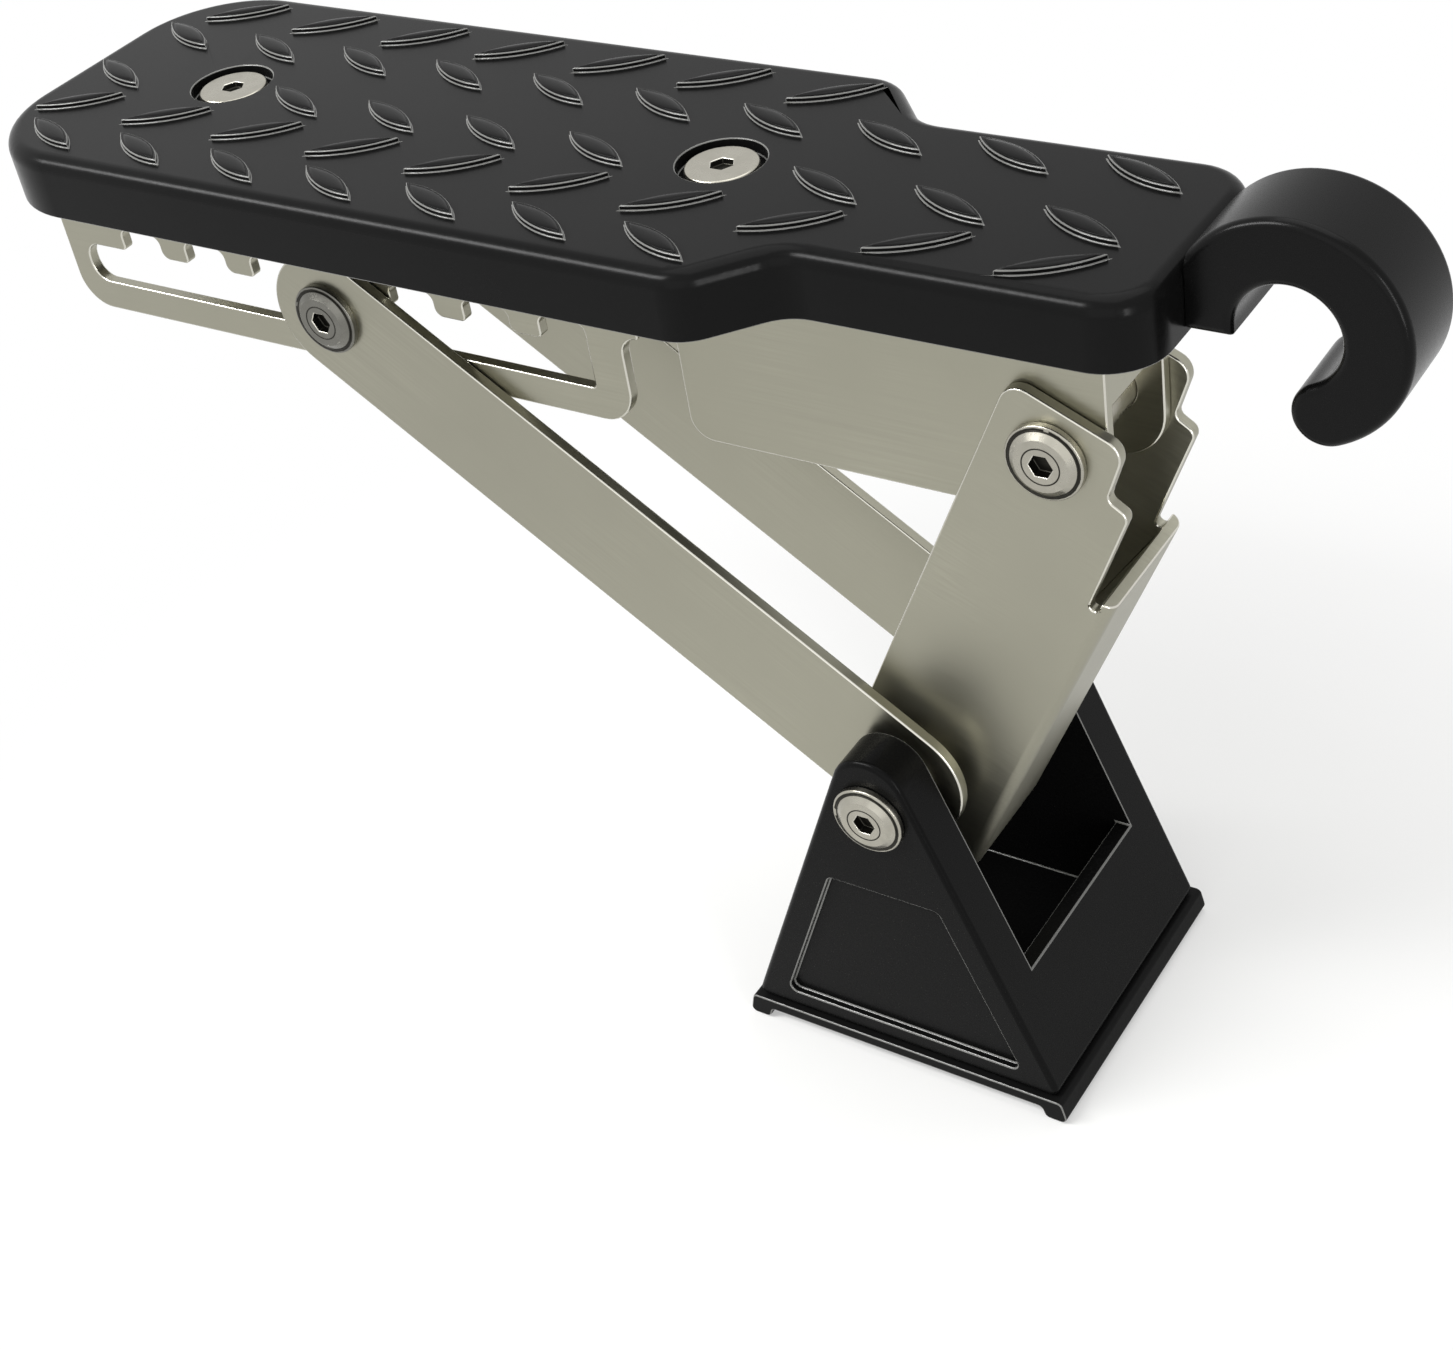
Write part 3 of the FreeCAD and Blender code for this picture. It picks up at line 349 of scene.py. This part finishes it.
crown_nodes = lug_tree()
CROWN_SHARE = 0.84
crown_length = LUG_LENGTH * CROWN_SHARE
crown_width = LUG_WIDTH * CROWN_SHARE
for crown_name, places, turn, width in (
        ("leaf_lug_crowns", leaf_places, LEAF_TURN, crown_width * LEAF_SHARE),
        ("bar_lug_crowns", bar_places, BAR_TURN, crown_width * BAR_SHARE)):
    crown_mesh = node_mesh(crown_name, places, crown_nodes, {
        "Length": crown_length, "Width": width, "Crown": LUG_CROWN, "Turn": turn,
        "Material": tread_black})
    crowns = bpy.data.objects.new(crown_name, crown_mesh)
    scene.collection.objects.link(crowns)
    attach(crowns, "tread")


# Hook: a forged alloy C with a smooth black coating that cushions it against the striker.
# The coating is satin, so its rounded edges catch a long soft highlight.

hook_black = moulded_black("satin_black_coating", "#070707", "#0b0b0b", roughness=0.24,
                           grain_mm=0.6, grain_depth=0.004, sheen=0.12)
HOOK_EDGE_MM = 0.3
broken_edges("hook", "coated_hook", "tread", (hook_black, hook_black), HOOK_EDGE_MM)


# Screws, nuts and sleeves: turned and cold-headed steel with a bright zinc plating.
# The cross bolt and its cap nut are phosphated instead, so they are a darker grey.

def plated_hardware(name, colour, dull_colour, roughness):
    """Zinc-plated turned steel with small dull patches."""
    patch_mm = 4.0
    # The grit is drawn at 0.5 mm, coarser than real plating, so that it shows in the render
    grit_mm = 0.5
    dulled = 0.08
    material, tree, shader = new_material(name)
    shader.inputs["Metallic"].default_value = 1.0
    place = add_node(tree, "ShaderNodeTexCoord").outputs["Object"]
    patches = add_node(tree, "ShaderNodeTexNoise", [(place, "Vector")],
                       {"Scale": MM_PER_M / patch_mm, "Detail": 3.0, "Roughness": 0.6})
    shade = add_node(tree, "ShaderNodeMixRGB", [(patches.outputs["Fac"], "Fac")],
                     {"Color1": linear(dull_colour), "Color2": linear(colour)})
    tree.links.new(shade.outputs["Color"], shader.inputs["Base Color"])
    gloss = add_node(tree, "ShaderNodeMapRange", [(patches.outputs["Fac"], "Value")],
                     {"From Min": 0.3, "From Max": 0.7, "To Min": roughness + dulled, "To Max": roughness})
    tree.links.new(gloss.outputs["Result"], shader.inputs["Roughness"])
    grit = add_node(tree, "ShaderNodeTexNoise", [(place, "Vector")], {"Scale": MM_PER_M / grit_mm})
    relief = add_node(tree, "ShaderNodeBump", [(grit.outputs["Fac"], "Height")],
                      {"Strength": 0.04, "Distance": 0.0001})
    tree.links.new(relief.outputs["Normal"], shader.inputs["Normal"])
    return material


HEAD_EDGE_MM = 0.2
screw_steel = plated_hardware("zinc_plated_steel", "#b4b1a6", "#9b988d", roughness=0.24)
bolt_steel = plated_hardware("phosphated_steel", "#7f7e78", "#6a6963", roughness=0.24)
# Dark steel for painted shade in the sockets and turned grooves
groove_shade_steel = plated_hardware("painted_groove_shade_steel", "#3a3934", "#2b2a26", roughness=0.4)
# Head edges are painted paler than the plating: a painted highlight round each head's rim
head_edge_highlight = plated_hardware("painted_head_edge_highlight", "#d2d0c6", "#bdbab0", roughness=0.2)
shown_hardware = {
    "tread": ("front_tread_screw", "rear_tread_screw", "front_tread_nut", "rear_tread_nut",
              "front_hook_screw", "rear_hook_screw", "near_leg_screw", "far_leg_screw"),
    "leg": ("near_foot_screw", "far_foot_screw"),
    "strut": ("cross_bolt", "cross_cap_nut"),
}
SOCKET_HEADS = ("tread_screw", "leg_screw", "foot_screw", "cross_bolt")
SOCKET_REACH = 0.0030
SOCKET_DEPTH = 0.0025


def darken_socket(piece, node):
    """Paint the walls and floor of a head's socket dark: painted shade in the recess."""
    low, high = (Vector(corner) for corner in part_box(node))
    middle = (low + high) / 2
    axis = "xyz".index("z" if node.endswith("tread_screw") else "y")
    face = high[axis] if high[axis] > -low[axis] else low[axis]
    piece.data.materials.append(groove_shade_steel)
    socket_shade_index = len(piece.data.materials) - 1
    for polygon in piece.data.polygons:
        offset = polygon.center - middle
        depth = abs(face - polygon.center[axis])
        offset[axis] = 0.0
        if offset.length < SOCKET_REACH and HEAD_EDGE_MM / MM_PER_M < depth < SOCKET_DEPTH:
            polygon.material_index = socket_shade_index


for body_name, hardware in shown_hardware.items():
    for node_name in hardware:
        head_steel = bolt_steel if body_name == "strut" else screw_steel
        head = broken_edges(node_name, node_name + "_plated", body_name,
                            (head_steel, head_edge_highlight), HEAD_EDGE_MM)
        if node_name.endswith(SOCKET_HEADS):
            darken_socket(head, node_name)
for node_name in ("leg_pivot_sleeve", "foot_pivot_sleeve", "near_strut_spacer", "far_strut_spacer",
                  "near_ear_washer", "far_ear_washer"):
    turned_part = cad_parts[node_name].data
    turned_part.materials.clear()
    turned_part.materials.append(screw_steel)


# Painted shade in turned grooves: two fine grooves on each flanged head, shown dark where shade falls in
# them.
# A thin dark ring, half sunk in the plated face, is painted shade for each, round the crown and the
# socket.

def ring_tree():
    """Nodes that set a fine ring on every point, facing along Y."""
    tree = bpy.data.node_groups.new("head_groove_shade_rings", "GeometryNodeTree")
    tree.interface.new_socket("Geometry", in_out="INPUT", socket_type="NodeSocketGeometry")
    for name in ("Ring radius", "Wire radius"):
        tree.interface.new_socket(name, in_out="INPUT", socket_type="NodeSocketFloat")
    tree.interface.new_socket("Material", in_out="INPUT", socket_type="NodeSocketMaterial")
    tree.interface.new_socket("Geometry", in_out="OUTPUT", socket_type="NodeSocketGeometry")
    given = add_node(tree, "NodeGroupInput").outputs
    path = add_node(tree, "GeometryNodeCurvePrimitiveCircle", [(given["Ring radius"], "Radius")],
                    {"Resolution": 64})
    wire = add_node(tree, "GeometryNodeCurvePrimitiveCircle", [(given["Wire radius"], "Radius")],
                    {"Resolution": 8})
    ring = add_node(tree, "GeometryNodeCurveToMesh",
                    [(path.outputs["Curve"], "Curve"), (wire.outputs["Curve"], "Profile Curve")])
    rings = add_node(tree, "GeometryNodeInstanceOnPoints",
                     [(given["Geometry"], "Points"), (ring.outputs["Mesh"], "Instance")],
                     {"Rotation": (math.pi / 2, 0.0, 0.0)})
    real = add_node(tree, "GeometryNodeRealizeInstances", [(rings.outputs["Instances"], "Geometry")])
    smooth = add_node(tree, "GeometryNodeSetShadeSmooth", [(real.outputs["Geometry"], "Geometry")])
    clad = add_node(tree, "GeometryNodeSetMaterial",
                    [(smooth.outputs["Geometry"], "Geometry"), (given["Material"], "Material")])
    add_node(tree, "NodeGroupOutput", [(clad.outputs["Geometry"], "Geometry")])
    return tree


GROOVE_WIRE = 0.00022
CROWN_RING = 0.0080
SOCKET_RING = 0.0044
FLANGE_HEIGHT = 0.0018
HEAD_HEIGHT = 0.0031
groove_nodes = ring_tree()
FLANGED_HEADS = ("leg_screw", "foot_screw", "cross_bolt", "cap_nut")
for body_name, hardware in shown_hardware.items():
    crown_spots = []
    socket_spots = []
    for head in [node_name for node_name in hardware if node_name.endswith(FLANGED_HEADS)]:
        low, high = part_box(head)
        outwards = 1 if high[1] > -low[1] else -1
        face = high[1] if outwards > 0 else low[1]
        seat = face - outwards * (HEAD_HEIGHT - FLANGE_HEIGHT)
        middle_x = (low[0] + high[0]) / 2
        middle_z = (low[2] + high[2]) / 2
        crown_spots.append((middle_x, seat, middle_z))
        socket_spots.append((middle_x, face - outwards * GROOVE_WIRE / 2, middle_z))
    for ring_name, spots, radius in (("crown_groove_shade", crown_spots, CROWN_RING),
                                     ("socket_groove_shade", socket_spots, SOCKET_RING)):
        groove_mesh = node_mesh(f"{body_name}_{ring_name}", spots, groove_nodes, {
            "Ring radius": radius, "Wire radius": GROOVE_WIRE, "Material": groove_shade_steel})
        grooves = bpy.data.objects.new(f"{body_name}_{ring_name}", groove_mesh)
        scene.collection.objects.link(grooves)
        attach(grooves, body_name)


# Foot: a thick black nylon moulding with two triangular sides, turning on the leg's lower pivot.
# A softer rubber pad is bonded under it, with a lip along two edges to grip the car's sill.

foot_black = moulded_black("grained_black_nylon", "#0a0a0a", "#0e0e0e", roughness=0.26,
                           grain_mm=1.1, grain_depth=0.012, sheen=0.065)
pad_black = moulded_black("matt_black_rubber", "#0d0d0d", "#121212", roughness=0.5,
                          grain_mm=0.8, grain_depth=0.08, sheen=0.07)
FOOT_EDGE_MM = 0.35
PAD_EDGE_MM = 0.3
# The foot's and pad's rounded edges take the same pale painted highlight
broken_edges("foot_block", "moulded_foot", "foot", (foot_black, edge_highlight_black), FOOT_EDGE_MM)
broken_edges("foot_pad", "rubber_pad", "foot", (pad_black, edge_highlight_black), PAD_EDGE_MM)


# Studio: a plain pale floor that fades into a white surround, under two large soft lamps and two
# strips that the rounded edges mirror.
# The camera stands where the photograph was taken, a little above and to the hook's side.

def pale_for_camera(tree, pale, seen_by_light):
    """Mix two shaders so that the eye and reflections see the pale one."""
    path = add_node(tree, "ShaderNodeLightPath").outputs
    sight = add_node(tree, "ShaderNodeMath", [(path["Is Camera Ray"], 0), (path["Is Glossy Ray"], 1)],
                     operation="MAXIMUM")
    sight = add_node(tree, "ShaderNodeMath", [(sight.outputs[0], 0), (path["Is Transmission Ray"], 1)],
                     operation="MAXIMUM")
    return add_node(tree, "ShaderNodeMixShader",
                    [(sight.outputs[0], 0), (seen_by_light, 1), (pale, 2)]).outputs[0]


world = bpy.data.worlds.new("white_surround")
scene.world = world
world.use_nodes = True
world_tree = world.node_tree
room = world_tree.nodes["Background"]
room.inputs["Color"].default_value = linear("#ffffff")
room.inputs["Strength"].default_value = 0.45
bright = add_node(world_tree, "ShaderNodeBackground", values={"Color": linear("#ffffff"), "Strength": 1.0})
surround = pale_for_camera(world_tree, bright.outputs[0], room.outputs[0])
world_tree.links.new(surround, world_tree.nodes["World Output"].inputs["Surface"])

FLOOR_REACH = 3.0
FLOOR_GAP = 0.0005
FADE_MIDDLE = (-0.1, 0.0, 0.0)
FADE_START = 0.1
FADE_END = 0.4
floor_mesh = bpy.data.meshes.new("floor")
floor_corners = [(-FLOOR_REACH, -FLOOR_REACH), (FLOOR_REACH, -FLOOR_REACH),
                 (FLOOR_REACH, FLOOR_REACH), (-FLOOR_REACH, FLOOR_REACH)]
floor_mesh.from_pydata([(x, y, cad_low[2] - FLOOR_GAP) for x, y in floor_corners], [], [(0, 1, 2, 3)])
floor = bpy.data.objects.new("floor", floor_mesh)
scene.collection.objects.link(floor)
floor_paint, floor_tree, floor_shader = new_material("white_paper_floor")
floor_shader.inputs["Base Color"].default_value = linear("#f4f4f2")
floor_shader.inputs["Roughness"].default_value = 0.9
paper_place = add_node(floor_tree, "ShaderNodeTexCoord").outputs["Object"]
reach = add_node(floor_tree, "ShaderNodeVectorMath", [(paper_place, 0)], {1: FADE_MIDDLE},
                 operation="DISTANCE")
fade = add_node(floor_tree, "ShaderNodeMapRange", [(reach.outputs["Value"], "Value")],
                {"From Min": FADE_START, "From Max": FADE_END}, interpolation_type="SMOOTHSTEP")
white = add_node(floor_tree, "ShaderNodeEmission", values={"Color": linear("#ffffff"), "Strength": 1.0})
seen = pale_for_camera(floor_tree, white.outputs[0], floor_shader.outputs[0])
faded = add_node(floor_tree, "ShaderNodeMixShader",
                 [(fade.outputs["Result"], 0), (floor_shader.outputs[0], 1), (seen, 2)])
floor_tree.links.new(faded.outputs[0], floor_tree.nodes["Material Output"].inputs["Surface"])
floor_mesh.materials.append(floor_paint)


def soft_lamp(name, place, target, length, breadth, power):
    """Add a large rectangular lamp that points at a target, its length across the floor."""
    data = bpy.data.lights.new(name, "AREA")
    data.shape = "RECTANGLE"
    data.size = length
    data.size_y = breadth
    data.energy = power
    lamp = bpy.data.objects.new(name, data)
    lamp.location = place
    lamp.rotation_euler = (Vector(target) - Vector(place)).to_track_quat("-Z", "Y").to_euler()
    scene.collection.objects.link(lamp)


STEP_MIDDLE = (-0.15, 0.0, -0.08)
soft_lamp("overhead_lamp", (-0.1, 0.25, 1.15), STEP_MIDDLE, length=1.1, breadth=1.1, power=6.5)
soft_lamp("front_lamp", (0.2, -1.2, 0.35), STEP_MIDDLE, length=1.0, breadth=1.0, power=1.5)
soft_lamp("hook_side_lamp", (0.95, -0.72, 0.1), STEP_MIDDLE, length=0.15, breadth=0.9, power=5.0)
soft_lamp("rim_strip_lamp", (-0.77, -0.52, 0.66), (-0.77, 0.0, -0.09),
          length=0.9, breadth=0.22, power=13.0)

PHOTO_WIDTH_PX = 1453
FOCAL_PX = 2418.69
SENSOR_MM = 36.0
camera_data = bpy.data.cameras.new("photo_camera")
camera_data.sensor_fit = "HORIZONTAL"
camera_data.sensor_width = SENSOR_MM
camera_data.lens = SENSOR_MM * FOCAL_PX / PHOTO_WIDTH_PX
camera = bpy.data.objects.new("photo_camera", camera_data)
eye = Vector((0.15597, -0.38604, 0.24754))
right = Vector((0.83340, 0.53283, -0.14672))
up = Vector((-0.23687, 0.58425, 0.77624))
back = Vector((0.49933, -0.61217, 0.61313))
camera.matrix_world = Matrix((
    (right.x, up.x, back.x, eye.x),
    (right.y, up.y, back.y, eye.y),
    (right.z, up.z, back.z, eye.z),
    (0.0, 0.0, 0.0, 1.0)))
scene.collection.objects.link(camera)
scene.camera = camera
